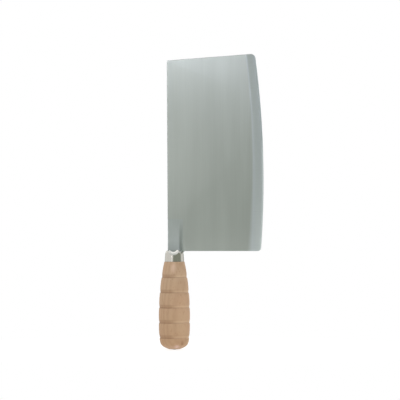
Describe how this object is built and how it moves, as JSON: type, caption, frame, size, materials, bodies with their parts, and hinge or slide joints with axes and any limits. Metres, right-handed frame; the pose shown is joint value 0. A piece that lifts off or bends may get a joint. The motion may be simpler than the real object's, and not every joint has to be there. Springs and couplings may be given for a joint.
{
  "type": "chinese cleaver",
  "caption": "Broad steel vegetable cleaver with a curved ground edge, raised neck, polished ferrule and a turned, ring-grooved wooden handle.",
  "frame": {"origin": "on the handle's axis, at the middle of the grip", "axes": "+Z along the handle to the blade's toe, +X to the cutting edge, +Y square to the blade's faces"},
  "size_m": [0.1116, 0.0332, 0.3149],
  "materials": {
    "blade_steel": "satin ground",
    "neck_steel": "satin ground",
    "ferrule_steel": "polished",
    "handle_wood": "bare, sanded",
    "cement": "matt",
    "washer_steel": "satin"
  },
  "bodies": {
    "root": {"blade_plate": "blade_steel", "neck_tang": "neck_steel", "ferrule": "ferrule_steel", "handle": "handle_wood", "tang_cement": "cement", "butt_washer": "washer_steel"}
  },
  "joints": []
}
